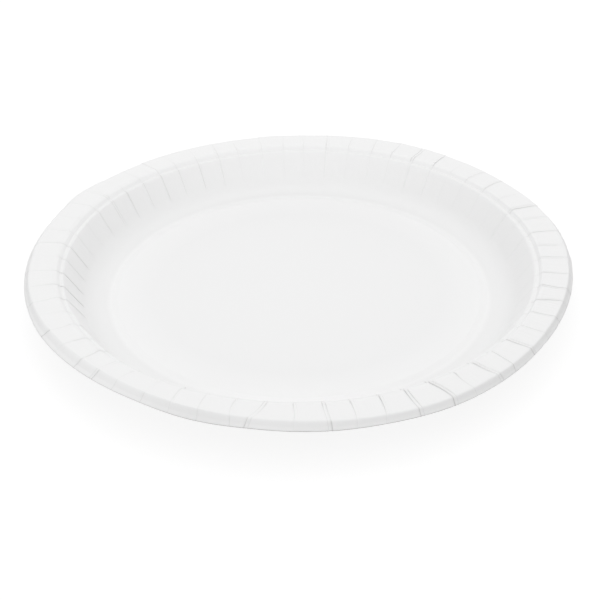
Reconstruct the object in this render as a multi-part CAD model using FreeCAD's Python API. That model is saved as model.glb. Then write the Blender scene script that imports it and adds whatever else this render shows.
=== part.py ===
import FreeCAD, Part
import math
import os

# A shallow round plate pressed from one disc of paperboard, standing right way up.
# Z is its axis and Z = 0 is the table. Every height is of the upper face of the board.
# Outside its foot the board is made of gores, one between each pleat and the next.
# Angles are in degrees about the axis, from the right-hand side (+X) towards the back (+Y).

# The whole plate, millimetres
plate_diameter = 230.0
rim_height = 17.8
board_thickness = 0.45

# The rim, from its cut edge inwards
lip_run = 1.9
lip_drop = 2.2
fold_inside_radius = 1.1
flange_width = 10.2
flange_fall = 0.2
flange_corner_inside_radius = 1.4
step_width = 2.7
step_height = 1.8
ledge_width = 1.7

# The rim's outer edge has warped upwards at the front left and downwards at the back
lift_height = 1.6
lift_angle = 237.0
lift_spread = 45.0
sag_depth = 1.1
sag_angle = 106.0
sag_spread = 38.0

# The well, from the ledge down to the middle
wall_angle = 55.0
well_inside_radius = 12.0
foot_width = 1.1
floor_step_width = 2.7
floor_rise = 0.5

# The pleats scored across the rim and down the wall, to a margin above the well's bend
pleat_count = 60
first_pleat_angle = 4.3
pleat_width = 1.1
pleat_depth = 0.2
pleat_margin = 0.5
pleat_run_out = 3.0

SHARP = 0.0
AXIS_POINT = FreeCAD.Vector(0, 0, 0)
UP = FreeCAD.Vector(0, 0, 1)


def point(radius, height):
    """A point of the section, in the plane through the axis and +X."""
    return FreeCAD.Vector(radius, 0, height)


def turned(thing, angle):
    """A point or an edge of the section, carried round the axis."""
    if isinstance(thing, FreeCAD.Vector):
        return FreeCAD.Rotation(UP, angle).multVec(thing)
    copy = thing.copy()
    copy.rotate(AXIS_POINT, UP, angle)
    return copy


def line(start, end):
    return Part.LineSegment(start, end).toShape()


def flat(*corners):
    return Part.Face(Part.makePolygon(list(corners) + [corners[0]]))


def ends(edges):
    return edges[0].firstVertex().Point, edges[-1].lastVertex().Point


def between(edges, others):
    """The faces that join the edges of one section to those of another."""
    return [Part.makeRuledSurface(edge, other) for edge, other in zip(edges, others)]


def below(path, distance):
    """The corners of an open path, moved square to its runs towards the table."""
    runs = [(end - start).normalize() for start, end in zip(path, path[1:])]
    down = [FreeCAD.Vector(run.z, 0, -run.x) for run in runs]
    moved = []
    for corner, before, after in zip(path, [down[0]] + down, down + [down[-1]]):
        both = before + after
        moved.append(corner + both * (2 * distance / both.dot(both)))
    return moved


def bent(path, inside_radii, upper):
    """The edges of one face of the board along a path, with its inner corners bent round."""
    edges = []
    start = path[0]
    for before, corner, after, inside_radius in zip(path, path[1:], path[2:], inside_radii):
        reach = 0.0
        back = (before - corner).normalize()
        ahead = (after - corner).normalize()
        if inside_radius > SHARP:
            turns_up = (corner - before).cross(after - corner).y < 0
            radius = inside_radius if turns_up == upper else inside_radius + board_thickness
            half_opening = back.getAngle(ahead) / 2
            reach = radius / math.tan(half_opening)
            middle = corner + (back + ahead).normalize() * (radius / math.sin(half_opening) - radius)
        edges.append(line(start, corner + back * reach))
        start = corner + ahead * reach
        if inside_radius > SHARP:
            edges.append(Part.Arc(corner + back * reach, middle, start).toShape())
    edges.append(line(start, path[-1]))
    return edges


def hump(angle, top_angle, spread):
    """A smooth hump one high at its top, and level at a spread to each side of it."""
    aside = abs((angle - top_angle + 180.0) % 360.0 - 180.0)
    return (1 + math.cos(math.pi * min(aside / spread, 1.0))) / 2


def well_reach():
    """How far the well's bend runs along the foot, and up the wall, from where they would meet."""
    return well_inside_radius * math.tan(math.radians(wall_angle) / 2)


def corners(angle):
    """The corners of the board's upper face: the floor from the axis, then the well and the rim."""
    warp = lift_height * hump(angle, lift_angle, lift_spread)
    warp -= sag_depth * hump(angle, sag_angle, sag_spread)
    fold = point(plate_diameter / 2 - lip_run, rim_height - flange_fall + warp)
    lip_end = point(plate_diameter / 2, fold.z - lip_drop)
    flange_corner = point(fold.x - flange_width, rim_height)
    ledge_outside = point(flange_corner.x - step_width, rim_height - step_height)
    wall_top = point(ledge_outside.x - ledge_width, ledge_outside.z)
    wall_run = (wall_top.z - board_thickness) / math.tan(math.radians(wall_angle))
    wall_foot = point(wall_top.x - wall_run, board_thickness)
    foot_inside = point(wall_foot.x - well_reach() - foot_width, board_thickness)
    floor_edge = point(foot_inside.x - floor_step_width, board_thickness + floor_rise)
    floor = [point(0, floor_edge.z), floor_edge, foot_inside]
    return floor, [wall_foot, wall_top, ledge_outside, flange_corner, fold, lip_end]


def section(angle):
    """The section's edges at an angle: up the well, over the rim, and along the whole underside."""
    floor, rim = corners(angle)
    underside = below(floor + rim, board_thickness)[len(floor) - 1 :]
    wall_foot, wall_top = rim[:2]
    up_the_wall = (wall_top - wall_foot).normalize()
    pleat_start = wall_foot + up_the_wall * (well_reach() + pleat_margin)
    full_depth = pleat_start + up_the_wall * pleat_run_out
    rim_radii = [SHARP, SHARP, flange_corner_inside_radius, fold_inside_radius]
    well_edges = bent([floor[-1], wall_foot, pleat_start], [well_inside_radius], upper=True)
    rim_edges = bent([full_depth] + rim[1:], rim_radii, upper=True)
    underside_edges = bent(underside, [well_inside_radius] + rim_radii, upper=False)
    runs = (well_edges, rim_edges, underside_edges)
    return [[turned(edge, angle) for edge in edges] for edges in runs]


def sunk(edges):
    """The edges of a rim, pressed down to the keel of a pleat."""
    copies = [edge.copy() for edge in edges]
    for copy in copies:
        copy.translate(FreeCAD.Vector(0, 0, -pleat_depth))
    return copies


def foot_share(first, last):
    """The flat face from the round floor step out to the straight bottom edge of a gore."""
    first_inside, first_outside = ends([first])
    last_inside, last_outside = ends([last])
    halfway = turned(first_inside, 180.0 / pleat_count)
    arc = Part.Arc(first_inside, halfway, last_inside).toShape()
    sides = [line(last_inside, last_outside), line(last_outside, first_outside)]
    return Part.Face(Part.Wire([arc] + sides + [line(first_outside, first_inside)]))


def gore(middle):
    """The faces of the board from the keel of one pleat to that of the next, about an angle."""
    half_pitch = 180.0 / pleat_count
    half_panel = half_pitch - math.degrees(pleat_width / plate_diameter)
    well, _, underside = section(middle - half_pitch)
    last_well, _, last_underside = section(middle + half_pitch)
    crests = [section(middle - half_panel)[1], section(middle + half_panel)[1]]
    keels = [sunk(section(middle + side)[1]) for side in (-half_pitch, half_pitch)]

    faces = [foot_share(well[0], last_well[0]), foot_share(underside[0], last_underside[0])]
    faces += between(well[1:], last_well[1:])
    faces += between(underside[1:], last_underside[1:])
    faces += between(*crests)

    starts = [ends(well)[1], ends(last_well)[1]]
    lower_ends = [ends(underside)[1], ends(last_underside)[1]]
    crest_tops, crest_ends = zip(*[ends(crest) for crest in crests])
    faces.append(flat(starts[0], *crest_tops, starts[1]))
    faces += between([line(*lower_ends)], [line(*crest_ends)])
    for crest, keel, start, lower_end in zip(crests, keels, starts, lower_ends):
        faces += between(crest, keel)
        faces.append(flat(ends(crest)[0], ends(keel)[0], start))
        faces.append(flat(ends(crest)[1], ends(keel)[1], lower_end))
    return faces


def pressed_plate():
    """The whole board: its floor turned in full rings, and its gores side by side around it."""
    floor, rim = corners(first_pleat_angle)
    faces = []
    for path in (floor, below(floor + rim, board_thickness)[: len(floor)]):
        for start, end in zip(path, path[1:]):
            ring = turned(line(start, end), first_pleat_angle)
            faces.append(ring.revolve(AXIS_POINT, UP, 360))
    pitch = 360.0 / pleat_count
    for number in range(pleat_count):
        faces += gore(first_pleat_angle + (number + 0.5) * pitch)
    shell = Part.Shell(faces)
    shell.sewShape()
    return Part.Solid(shell)


plate = pressed_plate()
os.makedirs("parts", exist_ok=True)
plate.exportStep("parts/plate.step")
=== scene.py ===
import math

import bpy
import numpy as np
from mathutils import Matrix, Vector


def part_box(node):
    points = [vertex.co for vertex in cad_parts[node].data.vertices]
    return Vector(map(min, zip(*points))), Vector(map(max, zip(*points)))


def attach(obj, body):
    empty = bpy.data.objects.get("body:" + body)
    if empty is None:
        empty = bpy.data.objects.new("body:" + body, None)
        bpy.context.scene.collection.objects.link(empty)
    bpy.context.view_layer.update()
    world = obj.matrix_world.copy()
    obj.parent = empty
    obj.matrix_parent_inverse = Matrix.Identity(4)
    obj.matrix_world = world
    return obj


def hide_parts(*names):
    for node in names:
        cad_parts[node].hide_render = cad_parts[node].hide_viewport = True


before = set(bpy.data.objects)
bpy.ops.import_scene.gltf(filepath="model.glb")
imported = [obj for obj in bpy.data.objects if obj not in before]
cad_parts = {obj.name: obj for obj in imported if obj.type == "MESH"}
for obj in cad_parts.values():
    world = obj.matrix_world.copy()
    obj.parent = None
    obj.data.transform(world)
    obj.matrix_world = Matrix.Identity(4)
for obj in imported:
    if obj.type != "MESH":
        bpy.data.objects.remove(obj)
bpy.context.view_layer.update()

# The plate's board
# One disc of white paperboard, pressed to shape between two heated dies. The section is the
# board's upper face from the middle of the floor out to the cut edge, each corner bent round.
MM = 0.001
plate_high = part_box("plate")[1]
rim_radius = plate_high.x / MM
rim_height = 17.8
board_thickness = 0.45
lip_run = 1.9
lip_drop = 2.2
lip_bend_run = 1.1
lip_bend_drop = 1.5
flange_width = 10.2
flange_fall = 0.2
step_width = 2.7
step_height = 1.8
step_bend_run = 1.5
step_bend_drop = 0.5
ledge_width = 1.3
wall_angle = math.radians(58.0)
well_radius = 12.0
foot_width = 2.3
floor_step_width = 2.7
floor_rise = 0.5
innermost_radius = 0.5

fold_radius = rim_radius - lip_run
fold_height = rim_height - flange_fall
flange_radius = fold_radius - flange_width
ledge_radius = flange_radius - step_width
wall_radius = ledge_radius - ledge_width
ledge_height = rim_height - step_height
wall_foot_radius = wall_radius - (ledge_height - board_thickness) / math.tan(wall_angle)
foot_radius = wall_foot_radius - well_radius * math.tan(wall_angle / 2) - foot_width
floor_radius = foot_radius - floor_step_width
floor_height = board_thickness + floor_rise

section_corners = np.array([
    (innermost_radius, floor_height),
    (floor_radius, floor_height),
    (foot_radius, board_thickness),
    (wall_foot_radius, board_thickness),
    (wall_radius, ledge_height),
    (ledge_radius, ledge_height),
    (flange_radius - step_bend_run, rim_height - step_bend_drop),
    (flange_radius, rim_height),
    (fold_radius, fold_height),
    (fold_radius + lip_bend_run, fold_height - lip_bend_drop),
    (rim_radius, fold_height - lip_drop),
])
# The bend at each of the corners between, then the grid's steps along each run and each bend
bend_radii = np.array([1.2, 1.2, well_radius, 1.5, 0.6, 2.0, 2.6, 1.2, 0.9])
run_steps = [5, 1, 1, 9, 1, 1, 1, 8, 2, 2]
bend_steps = [4, 4, 12, 4, 3, 4, 4, 6, 4]


def bent_path(corners, radii, steps_on_runs, steps_on_bends):
    """Straight runs joined by tangent arcs.

    A run is divided evenly. On an arc the direction turns evenly from one run's to the next's,
    about a centre one radius square to the run. Returns points and unit normals, both (r, z)."""
    runs = np.diff(corners, axis=0)
    lengths = np.linalg.norm(runs, axis=1)
    headings = np.arctan2(runs[:, 1], runs[:, 0])
    turns = np.diff(headings)
    reaches = radii * np.tan(np.abs(turns) / 2)
    ahead = runs / lengths[:, None]
    starts = corners[:-1] + ahead * np.append(0.0, reaches)[:, None]
    stops = corners[1:] - ahead * np.append(reaches, 0.0)[:, None]
    points, angles = [], []
    for number, steps in enumerate(steps_on_runs):
        share = np.linspace(0, 1, steps + 1)[:, None]
        last_run = number == len(steps_on_runs) - 1
        share = share if last_run else share[:-1]
        points.append(starts[number] + share * (stops[number] - starts[number]))
        angles.append(np.full(len(share), headings[number]))
        if last_run:
            break
        bend = headings[number] + turns[number] * np.linspace(0, 1, steps_on_bends[number] + 1)[:-1]
        side = np.sign(turns[number]) * radii[number]
        square = np.stack([-np.sin(bend), np.cos(bend)], axis=1)
        points.append(stops[number] + side * (square[0] - square))
        angles.append(bend)
    angle = np.concatenate(angles)
    return np.concatenate(points), np.stack([-np.sin(angle), np.cos(angle)], axis=1)


upper_points, upper_normals = bent_path(section_corners, bend_radii, run_steps, bend_steps)

# The whole section runs out over the upper face, round the cut edge and back along the underside
arris = 0.05
underside_skip = 3
edge_point = upper_points[[-1]]
edge_normal = upper_normals[[-1]]
edge_inwards = np.array([-edge_normal[0, 1], edge_normal[0, 0]])
edge_inside = edge_point + arris * edge_inwards
upper_rows = np.concatenate([upper_points[:-1], edge_inside])
under_rows = np.concatenate([upper_points[:-1:underside_skip], edge_inside])[::-1]
under_normals = np.concatenate([upper_normals[:-1:underside_skip], edge_normal])[::-1]
path = np.concatenate([upper_rows, edge_point, edge_point, under_rows])
path_normals = np.concatenate([upper_normals, edge_normal, edge_normal, under_normals])
edge_depths = [arris, board_thickness - arris]
depths = np.concatenate([np.zeros(len(upper_rows)), edge_depths, np.full(len(under_rows), board_thickness)])
depths = depths[:, None]
path_radius = path[:, [0]]
path_height = path[:, [1]]
normal_r, normal_z = path_normals[:, [0]], path_normals[:, [1]]

# The pleats
# Sixty lines scored into the blank let its rim gather as it is pressed. At each, a strip of board
# about a millimetre wide is caught between two creases, and no two come out alike.
pleat_count = 60
first_pleat = math.radians(4.3)
pleat_pitch = 2 * math.pi / pleat_count
blank_shift = math.radians(1.6)
blank_shift_angle = math.radians(190)
crease_apart = 1.1
crease_half = 0.17
deepest_crease = 0.4
strongest_strip = 1.5
pleat_reach = 1.15
pleat_run_down_wall = 8.5
pleat_margin = 0.3
pleat_run_out = 3.0
pleat_reference_radius = 108.0
doubled_width = 1.2
usual_crease = 0.26
doubled_crease = 0.24
lesser_single_crease = 0.1
doubled_ridge = 0.12
usual_ridge = 0.08
notch_strength = 1.1
corner_spread = 1.6
ledge_spread = 0.7
fade_from = 1.25
fade_to = 0.5
draw = np.random.default_rng(60)


def hump(angle, top_degrees, spread_degrees):
    """One at its top, falling as a cosine to nothing at a spread to each side."""
    aside = np.abs(np.mod(angle - math.radians(top_degrees) + math.pi, 2 * math.pi) - math.pi)
    return (1 + np.cos(math.pi * np.minimum(aside / math.radians(spread_degrees), 1))) / 2


def humps(angle, *each):
    """The sum of humps, each given as its height, its top and its spread."""
    return sum(size * hump(angle, top, spread) for size, top, spread in each)


def bell(radius, top_radius, width):
    """One at a radius, and e to the minus square of the distance from it in widths elsewhere."""
    return np.exp(-(((radius - top_radius) / width) ** 2))


def smooth_step(value, start, stop):
    """Nothing before the start, one past the stop, and 3t² - 2t³ between them."""
    share = np.clip((value - start) / (stop - start), 0, 1)
    return share * share * (3 - 2 * share)


def arch(share):
    """A parabola, one high halfway along and nothing at both ends."""
    return 4 * share * (1 - share)


def scatter(size):
    """A normal draw for each pleat, held within twice the size to either side."""
    return size * draw.normal(size=pleat_count).clip(-2, 2)


# Each pleat's own form. The blank lay 3 mm off the die's middle, so the pleats drift to one side.
numbers = np.arange(pleat_count)
nominal = first_pleat + numbers * pleat_pitch
keel_angle = nominal + blank_shift * np.cos(nominal - blank_shift_angle)
keel_angle = keel_angle + scatter(math.radians(0.15))
slant = scatter(0.6)
slant[[43, 45, 49, 51, 53, 56]] = [-3.9, 1.0, 2.6, 1.9, 1.0, 2.5]
bow = scatter(0.3)
pleat_width = draw.uniform(0.6, 1.1, pleat_count)
doubled = np.isin(numbers, [3, 9, 24, 37, 43, 45, 48, 49, 51, 53])
pleat_width = np.where(doubled, doubled_width, pleat_width)
mirrored = draw.random(pleat_count) < 0.5
uneven = draw.uniform(0.55, 1.25, pleat_count)

# How strongly it shows on each part of the rim: a level all round, and more about some angles
flange_strength = (0.35 + humps(nominal, (0.65, 5, 60), (0.9, 312, 55), (0.5, 58, 14))) * uneven
corner_strength = 0.1 + humps(nominal, (0.5, 300, 80))
ledge_strength = (0.1 + humps(nominal, (1.1, 262, 80))) * uneven
wall_strength = 0.2 + humps(nominal, (1.5, 187, 28), (0.45, 140, 45))
wall_strength = wall_strength * draw.uniform(0.6, 1.2, pleat_count)
notched = np.isin(numbers, [34, 37, 39, 43, 45, 48, 49, 51, 52, 53, 55, 57])
lip_strength = np.where(notched, notch_strength, draw.uniform(0.05, 0.5, pleat_count))

# How deep its two creases are, how high the strip between them stands, and how its panel lies
first_crease = usual_crease * draw.uniform(0.8, 1.2, pleat_count)
second_crease = np.where(doubled, doubled_crease, lesser_single_crease * draw.random(pleat_count))
ridge = np.where(doubled, doubled_ridge, usual_ridge * draw.uniform(-0.2, 1.2, pleat_count))
raised = np.isin(numbers, [19, 21, 22, 23, 25, 27])
panel_bulge = 0.05 * draw.normal(size=pleat_count)
panel_offset = scatter(0.08)

# Nine grid lines follow each pleat, three of them at each crease, and four cross the panel after it
crease_lines = np.array([crease_apart / 2 - crease_half, crease_apart / 2, crease_apart / 2 + crease_half])
across_pleat = np.concatenate([[-pleat_reach], -crease_lines[::-1], [0.0], crease_lines, [pleat_reach]])
across_panel = np.array([0.2, 0.4, 0.6, 0.8])
lines_each = len(across_pleat) + len(across_panel)
here = np.repeat(numbers, lines_each)
after = np.mod(here + 1, pleat_count)
before = np.mod(here - 1, pleat_count)
is_pleat = np.tile(np.arange(lines_each) < len(across_pleat), pleat_count)
place_across = np.tile(np.append(across_pleat, np.zeros(len(across_panel))), pleat_count)
share = np.tile(np.append(np.zeros(len(across_pleat)), across_panel), pleat_count)
along_flange = np.clip((path_radius - flange_radius) / flange_width, 0, 1.15)


def pleat_line(number):
    """The angle of each pleat at each row: its keel's, plus its slant and bow along the flange."""
    sideways = slant[number] * along_flange + bow[number] * arch(along_flange)
    return keel_angle[number] + sideways / pleat_reference_radius


half_width = pleat_reach / pleat_reference_radius * pleat_width
before_panel = pleat_line(here) + half_width[here]
after_panel = pleat_line(after) - half_width[after] + np.where(after < here, 2 * math.pi, 0)
angle = np.where(
    is_pleat,
    pleat_line(here) + place_across / pleat_reach * half_width[here],
    before_panel + share * (after_panel - before_panel),
)

# Each pleat's strength along the section: it starts on the wall and gathers at the flange's corner
wall_start = wall_radius - pleat_run_down_wall
on_pleats = smooth_step(path_radius, wall_start + pleat_margin, wall_start + pleat_run_out)
on_flange = smooth_step(path_radius, wall_radius, flange_radius)
on_lip = smooth_step(path_radius, fold_radius - 0.8, fold_radius + 0.3)
at_corner = bell(path_radius, flange_radius, corner_spread)
at_ledge = bell(path_radius, wall_radius, ledge_spread)
flange_fade = fade_from - (fade_from - fade_to) * along_flange.clip(0, 1)
strength = flange_strength[here] * flange_fade * on_flange + wall_strength[here] * (1 - on_flange)
strength = strength * (1 - on_lip) + lip_strength[here] * on_lip
strength = strength + corner_strength[here] * at_corner + ledge_strength[here] * at_ledge

# How far each point stands off the plain section: creases, the strip between them, and the panels
side = place_across * np.where(mirrored, -1, 1)[here]
at_crease = is_pleat & np.isclose(np.abs(place_across), crease_apart / 2)
inside_strip = is_pleat & (np.abs(place_across) < crease_apart / 2)
lesser_crease = second_crease[here] * (1 - 0.7 * on_lip)
crease = np.where(at_crease, np.where(side < 0, first_crease[here], lesser_crease), 0)
strip = np.where(inside_strip, ridge[here], 0)
past_step = np.where(mirrored[here], place_across > 0.5, place_across > -0.5) | ~is_pleat
level = np.where(past_step, panel_offset[here], panel_offset[before])
panel = level + panel_bulge[here] * arch(share)
crease_depth = np.minimum(strength * crease, deepest_crease)
# Painted shade: how dark each crease is painted, from its depth
painted_crease_shade = on_pleats * crease_depth / deepest_crease
crease_depth = np.where(raised[here], crease_depth - 2 * crease_depth * (1 - on_flange), crease_depth)
stand_off = on_pleats * (np.minimum(strength, strongest_strip) * strip + panel - crease_depth)

# The rim's warp. Its outer edge is lifted at the front left and a little at the back right, and
# the whole rim sags at the back. The lip flares up or droops here and there, and the outline is up
# to 1.5 mm out of round. At the front left the fold lies up to 2.3 mm further in.
lift = humps(angle, (1.6, 237, 45), (0.6, 66, 30), (0.2, 100, 30))
flares_up = ((1.3, 62, 14), (1.6, 150, 16), (0.5, 300, 22))
droops = ((-0.9, 303, 24), (-0.4, 274, 25), (-0.7, 352, 38), (-0.9, 250, 14))
flare = humps(angle, *flares_up, *droops)
out_of_round = humps(angle, (0.8, 15, 22), (-1.5, 332, 34), (0.4, 296, 14))
about_fold = np.interp(path_radius, [flange_radius, fold_radius, rim_radius], [0, 1, 0])
fold_shift = humps(angle, (-2.3, 225, 38), (-0.9, 262, 28)) * about_fold
whole_rim = humps(angle, (-0.8, 100, 60)) * smooth_step(path_radius, wall_start, wall_radius)

# The step up from the ledge is steeper at the right. The ledge reaches further out there, and the
# bend at the step's top stands higher.
steeper = hump(angle, 345, 75)
step_bend_radius = flange_radius - step_bend_run
about_ledge = np.interp(path_radius, [wall_radius, ledge_radius, flange_radius], [0, 1, 0])
about_step_bend = np.interp(path_radius, [ledge_radius, step_bend_radius, flange_radius], [0, 1, 0])
ledge_shift = 0.4 * steeper * about_ledge
bend_rise = 0.38 * steeper * about_step_bend

over_lip = np.clip((path_radius - fold_radius) / lip_run, 0, 1)
radius = path_radius + normal_r * (stand_off - depths) + out_of_round * along_flange.clip(0, 1)
radius = radius + ledge_shift + fold_shift
height = path_height + normal_z * (stand_off - depths) + whole_rim + flare * over_lip
height = height + lift * along_flange.clip(0, 1) + bend_rise
height = np.minimum(height, plate_high.z / MM)
sideways = (radius * np.cos(angle)).clip(-rim_radius, rim_radius)
backwards = (radius * np.sin(angle)).clip(-rim_radius, rim_radius)
grid = np.stack([sideways, backwards, height], axis=2) * MM


def closed_board(name, points):
    """A mesh of a grid whose columns close in a ring, with one point at each pole.

    Face (i, j) joins rows i, i + 1 and columns j, j + 1, and a fan closes each end row."""
    rows, columns = points.shape[:2]
    index = np.arange(rows * columns).reshape(rows, columns)
    right = np.roll(index, -1, axis=1)
    quads = np.stack([index[:-1], index[1:], right[1:], right[:-1]], axis=2).reshape(-1, 4)
    poles = points[[0, -1]].mean(axis=1)
    top, bottom = rows * columns, rows * columns + 1
    top_fan = np.stack([np.full(columns, top), index[0], right[0]], axis=1)
    bottom_fan = np.stack([np.full(columns, bottom), right[-1], index[-1]], axis=1)
    mesh = bpy.data.meshes.new(name)
    vertices = np.concatenate([points.reshape(-1, 3), poles])
    mesh.from_pydata(vertices, [], quads.tolist() + top_fan.tolist() + bottom_fan.tolist())
    mesh.polygons.foreach_set("use_smooth", np.ones(len(mesh.polygons), bool))
    mesh.update()
    board = bpy.data.objects.new(name, mesh)
    bpy.context.scene.collection.objects.link(board)
    return board


plate = closed_board("pressed_plate", grid)

# Painted shade darkens the creases, where the folds hold shadow. Painted highlights brighten two lines at
# the bends where the floor steps down to the foot, and the whole step between them at the front.
highlight_width = 0.4
foot_highlight = 0.5
floor_highlight = 0.4
painted_highlight = foot_highlight * bell(path_radius, foot_radius, highlight_width)
painted_highlight = painted_highlight + floor_highlight * bell(path_radius, floor_radius, highlight_width)
# Painted highlight over the front of the step, where the light catches it
on_step = smooth_step(path_radius, floor_radius - 0.6, floor_radius + 0.4)
on_step = on_step * (1 - smooth_step(path_radius, foot_radius - 0.2, foot_radius + 0.8))
painted_highlight = np.maximum(painted_highlight, on_step * hump(angle, 268, 48) ** 0.5)
for name, amount in (("painted_crease_shade", painted_crease_shade), ("painted_highlight_level", painted_highlight)):
    attribute = plate.data.attributes.new(name, "FLOAT", "POINT")
    attribute.data.foreach_set("value", np.append(amount.ravel(), [0.0, 0.0]).astype(np.float32))

# Faces by finish: the upper face, the plain underside, and the cut edge that joins them
COATED, PLAIN, CUT = range(3)
quad_row = np.arange(len(path) - 1)
finish = np.where(quad_row < len(upper_rows) - 1, COATED, PLAIN)
finish[len(upper_rows) - 1 : len(upper_rows) + 2] = CUT
columns = grid.shape[1]
finish = np.concatenate([np.repeat(finish, columns), np.full(columns, COATED), np.full(columns, PLAIN)])
plate.data.polygons.foreach_set("material_index", finish.astype(np.int32))


def linear(hex_colour):
    """An sRGB hex colour as linear red, green, blue and full alpha."""
    srgb = np.array([int(hex_colour[place : place + 2], 16) for place in (1, 3, 5)]) / 255
    return (*np.where(srgb <= 0.04045, srgb / 12.92, ((srgb + 0.055) / 1.055) ** 2.4), 1.0)


def node(tree, kind, settings={}, links={}):
    """Adds a node of a kind, sets its properties and sockets, and links sockets to other outputs."""
    made = tree.nodes.new(kind)
    for name, value in settings.items():
        if isinstance(name, int) or name in made.inputs:
            made.inputs[name].default_value = value
        else:
            setattr(made, name, value)
    for name, source in links.items():
        tree.links.new(source, made.inputs[name])
    return made


def empty_material(name):
    """A material with no nodes yet."""
    material = bpy.data.materials.new(name)
    material.use_nodes = True
    material.node_tree.nodes.clear()
    return material


# White coated paperboard, calendered and pressed: a clay coat gives its upper face an even white
# and a soft gloss, the fibres below show as a faint grain, and it is drawn into fine wrinkles
# along the wall and the rim, which run outwards as the pleats do.
grain_size = 1.2
wrinkle_spacing = 1.4
wrinkle_length = 9.0
wrinkle_depth = 0.12
grain_depth = 0.04
worked_from = 85.0
worked_to = 94.0
coated = empty_material("coated_paperboard_pressed")
tree = coated.node_tree
place = node(tree, "ShaderNodeTexCoord")
grain = node(
    tree,
    "ShaderNodeTexNoise",
    {"Scale": 1 / (grain_size * MM)},
    {"Vector": place.outputs["Object"]},
)
plan = node(
    tree,
    "ShaderNodeVectorMath",
    {"operation": "MULTIPLY", 1: (1, 1, 0)},
    {0: place.outputs["Object"]},
)
outwards = node(tree, "ShaderNodeVectorMath", {"operation": "NORMALIZE"}, {0: plan.outputs[0]})
around = node(
    tree,
    "ShaderNodeVectorMath",
    {"operation": "SCALE", "Scale": pleat_reference_radius / wrinkle_spacing},
    {0: outwards.outputs[0]},
)
upwards = node(
    tree,
    "ShaderNodeVectorMath",
    {"operation": "MULTIPLY", 1: (0, 0, 1 / (wrinkle_length * MM))},
    {0: place.outputs["Object"]},
)
strand = node(
    tree,
    "ShaderNodeVectorMath",
    {"operation": "ADD"},
    {0: around.outputs[0], 1: upwards.outputs[0]},
)
wrinkles = node(tree, "ShaderNodeTexNoise", {"Scale": 1.0, "Detail": 3.0}, {"Vector": strand.outputs[0]})
reach = node(tree, "ShaderNodeVectorMath", {"operation": "LENGTH"}, {0: plan.outputs[0]})
worked = node(
    tree,
    "ShaderNodeMapRange",
    {"From Min": worked_from * MM, "From Max": worked_to * MM},
    {"Value": reach.outputs["Value"]},
)
wrinkled = node(
    tree,
    "ShaderNodeBump",
    {"Distance": wrinkle_depth * MM},
    {"Height": wrinkles.outputs["Fac"], "Strength": worked.outputs["Result"]},
)
grained = node(
    tree,
    "ShaderNodeBump",
    {"Strength": 0.5, "Distance": grain_depth * MM},
    {"Height": grain.outputs["Fac"], "Normal": wrinkled.outputs["Normal"]},
)
crease_shade_input = node(tree, "ShaderNodeAttribute", {"attribute_name": "painted_crease_shade"})
highlight_input = node(tree, "ShaderNodeAttribute", {"attribute_name": "painted_highlight_level"})
# Painted highlight: the board's white brightens to near white on the step's bends and at its front
white_and_painted_highlight = {"data_type": "RGBA", 6: linear("#F2F2F2"), 7: linear("#FDFDFD")}
colour = node(tree, "ShaderNodeMix", white_and_painted_highlight, {0: highlight_input.outputs["Fac"]})
# Painted shade: the creases darken towards a grey, standing in for the shadow in their folds
colour = node(
    tree,
    "ShaderNodeMix",
    {"data_type": "RGBA", 7: linear("#C4C3C1")},
    {0: crease_shade_input.outputs["Fac"], 6: colour.outputs[2]},
)
paper = node(
    tree,
    "ShaderNodeBsdfPrincipled",
    {"Roughness": 0.45, "IOR": 1.5, "Coat Weight": 0.2, "Coat Roughness": 0.3},
    {"Base Color": colour.outputs[2], "Normal": grained.outputs["Normal"]},
)
node(tree, "ShaderNodeOutputMaterial", {}, {"Surface": paper.outputs["BSDF"]})
plate.data.materials.append(coated)

# The underside is the same board without the coat: matt, a little warmer, with its fibres open.
fibre_size = 0.8
fibre_depth = 0.03
plain = empty_material("plain_paperboard_back")
tree = plain.node_tree
place = node(tree, "ShaderNodeTexCoord")
fibres = node(
    tree,
    "ShaderNodeTexNoise",
    {"Scale": 1 / (fibre_size * MM), "Detail": 4.0},
    {"Vector": place.outputs["Object"]},
)
open_grain = node(
    tree,
    "ShaderNodeBump",
    {"Distance": fibre_depth * MM},
    {"Height": fibres.outputs["Fac"]},
)
paper = node(
    tree,
    "ShaderNodeBsdfPrincipled",
    {"Base Color": linear("#EEECE8"), "Roughness": 0.85, "IOR": 1.45},
    {"Normal": open_grain.outputs["Normal"]},
)
node(tree, "ShaderNodeOutputMaterial", {}, {"Surface": paper.outputs["BSDF"]})
plate.data.materials.append(plain)

# The cut edge is raw pulp, a little greyer than the coat, and painted much darker to stand in for the shadow
# under the lip: a thin line of painted shade.
pulp_size = 0.5
cut = empty_material("die_cut_edge_with_painted_shade")
tree = cut.node_tree
place = node(tree, "ShaderNodeTexCoord")
pulp = node(
    tree,
    "ShaderNodeTexNoise",
    {"Scale": 1 / (pulp_size * MM)},
    {"Vector": place.outputs["Object"]},
)
# Painted shade: these greys sit well below the pulp's own tone
colour = node(
    tree,
    "ShaderNodeMix",
    {"data_type": "RGBA", 6: linear("#A19F9B"), 7: linear("#BDBBB7")},
    {0: pulp.outputs["Fac"]},
)
paper = node(
    tree,
    "ShaderNodeBsdfPrincipled",
    {"Roughness": 0.9, "IOR": 1.45},
    {"Base Color": colour.outputs[2]},
)
node(tree, "ShaderNodeOutputMaterial", {}, {"Surface": paper.outputs["BSDF"]})
plate.data.materials.append(cut)
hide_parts("plate")
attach(plate, "root")

# The table
# A wide pale sheet under the plate. The camera sees it as white, with what the plate shades.
floor_half = 4.0
floor_white = 0.86
floor_mesh = bpy.data.meshes.new("pale_sheet")
floor_corners = [(x * floor_half, y * floor_half, 0) for x, y in ((-1, -1), (1, -1), (1, 1), (-1, 1))]
floor_mesh.from_pydata(floor_corners, [], [(0, 1, 2, 3)])
floor = bpy.data.objects.new("pale_sheet", floor_mesh)
bpy.context.scene.collection.objects.link(floor)


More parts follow.
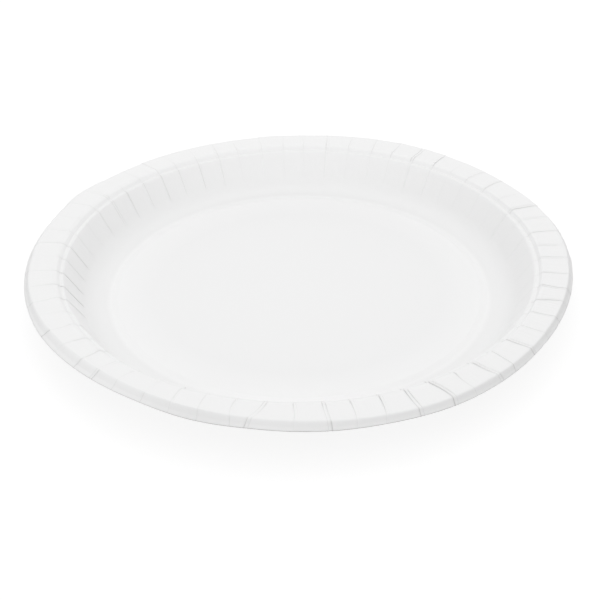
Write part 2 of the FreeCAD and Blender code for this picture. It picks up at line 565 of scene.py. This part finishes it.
def seen_directly(tree):
    """One for a camera, glossy or transmission ray, and nothing for any other."""
    ray = node(tree, "ShaderNodeLightPath")
    larger = {"operation": "MAXIMUM"}
    mirrored_ray = {0: ray.outputs["Is Glossy Ray"], 1: ray.outputs["Is Transmission Ray"]}
    either = node(tree, "ShaderNodeMath", larger, mirrored_ray)
    any_one = node(tree, "ShaderNodeMath", larger, {0: ray.outputs["Is Camera Ray"], 1: either.outputs[0]})
    return any_one.outputs[0]


sheet = empty_material("pale_paper_sheet")
tree = sheet.node_tree
matt = node(tree, "ShaderNodeBsdfDiffuse", {"Color": linear("#7C7C7C")})
whitening = node(tree, "ShaderNodeMath", {"operation": "MULTIPLY", 1: floor_white}, {0: seen_directly(tree)})
glow = node(tree, "ShaderNodeEmission", {"Color": linear("#FFFFFF")}, {"Strength": whitening.outputs[0]})
both = node(tree, "ShaderNodeAddShader", {}, {0: matt.outputs["BSDF"], 1: glow.outputs["Emission"]})
node(tree, "ShaderNodeOutputMaterial", {}, {"Surface": both.outputs["Shader"]})
floor_mesh.materials.append(sheet)

# The light
# A white room: its ceiling and back wall are bright and its side walls dimmer. A direction's level
# is the mean of the walls that it faces, weighted by the squares of its X, Y and Z.
ceiling = 0.74
back_wall = 1.75
front_wall = 1.65
left_wall = 0.40
right_wall = 0.40
world = bpy.data.worlds.new("white_room")
bpy.context.scene.world = world
world.use_nodes = True
tree = world.node_tree
tree.nodes.clear()
place = node(tree, "ShaderNodeTexCoord")
looking = place.outputs["Generated"]
absolute = node(tree, "ShaderNodeVectorMath", {"operation": "ABSOLUTE"}, {0: looking})
squares = node(tree, "ShaderNodeVectorMath", {"operation": "MULTIPLY"}, {0: looking, 1: looking})
signed = node(
    tree,
    "ShaderNodeVectorMath",
    {"operation": "MULTIPLY"},
    {0: looking, 1: absolute.outputs[0]},
)
wall_means = ((left_wall + right_wall) / 2, (back_wall + front_wall) / 2, ceiling)
wall_slants = ((right_wall - left_wall) / 2, (back_wall - front_wall) / 2, 0)
even = node(
    tree,
    "ShaderNodeVectorMath",
    {"operation": "DOT_PRODUCT", 1: wall_means},
    {0: squares.outputs[0]},
)
odd = node(
    tree,
    "ShaderNodeVectorMath",
    {"operation": "DOT_PRODUCT", 1: wall_slants},
    {0: signed.outputs[0]},
)
room = node(
    tree,
    "ShaderNodeMath",
    {"operation": "ADD"},
    {0: even.outputs["Value"], 1: odd.outputs["Value"]},
)
brightness = node(
    tree,
    "ShaderNodeMapRange",
    {"To Max": 1.0},
    {"Value": seen_directly(tree), "To Min": room.outputs[0]},
)
sky = node(
    tree,
    "ShaderNodeBackground",
    {"Color": linear("#FFFFFF")},
    {"Strength": brightness.outputs["Result"]},
)
node(tree, "ShaderNodeOutputWorld", {}, {"Surface": sky.outputs["Background"]})

lamp_width = 0.6
lamp_depth = 0.6
lamp_radiance = 0.65
lamp_data = bpy.data.lights.new("back_softbox", "AREA")
lamp_data.shape = "RECTANGLE"
lamp_data.size = lamp_width
lamp_data.size_y = lamp_depth
lamp_data.energy = lamp_radiance * math.pi * lamp_width * lamp_depth
lamp = bpy.data.objects.new("back_softbox", lamp_data)
bpy.context.scene.collection.objects.link(lamp)
lamp.location = (-0.10, 0.35, 0.75)
lamp.rotation_euler = (-lamp.location).to_track_quat("-Z", "Y").to_euler()

# The camera
# It looks down at the plate's middle from the front, turned a trace clockwise about its own axis.
sensor_width = 36.0
lens = 77.07
elevation = math.radians(33.7)
roll = math.radians(0.67)
camera_distance = 0.5533
aim_right = 0.0003
aim_down = 0.0050
back = Vector((0, -math.cos(elevation), math.sin(elevation)))
level_right = Vector((1, 0, 0))
level_up = back.cross(level_right)
right = math.cos(roll) * level_right - math.sin(roll) * level_up
up = math.sin(roll) * level_right + math.cos(roll) * level_up
camera_data = bpy.data.cameras.new("camera")
camera_data.sensor_width = sensor_width
camera_data.lens = lens
camera = bpy.data.objects.new("camera", camera_data)
bpy.context.scene.collection.objects.link(camera)
stand = camera_distance * back + aim_right * right - aim_down * up
turn = Matrix((right, up, back)).transposed().to_4x4()
camera.matrix_world = Matrix.Translation(stand) @ turn
bpy.context.scene.camera = camera
bpy.context.scene.view_settings.view_transform = "Standard"
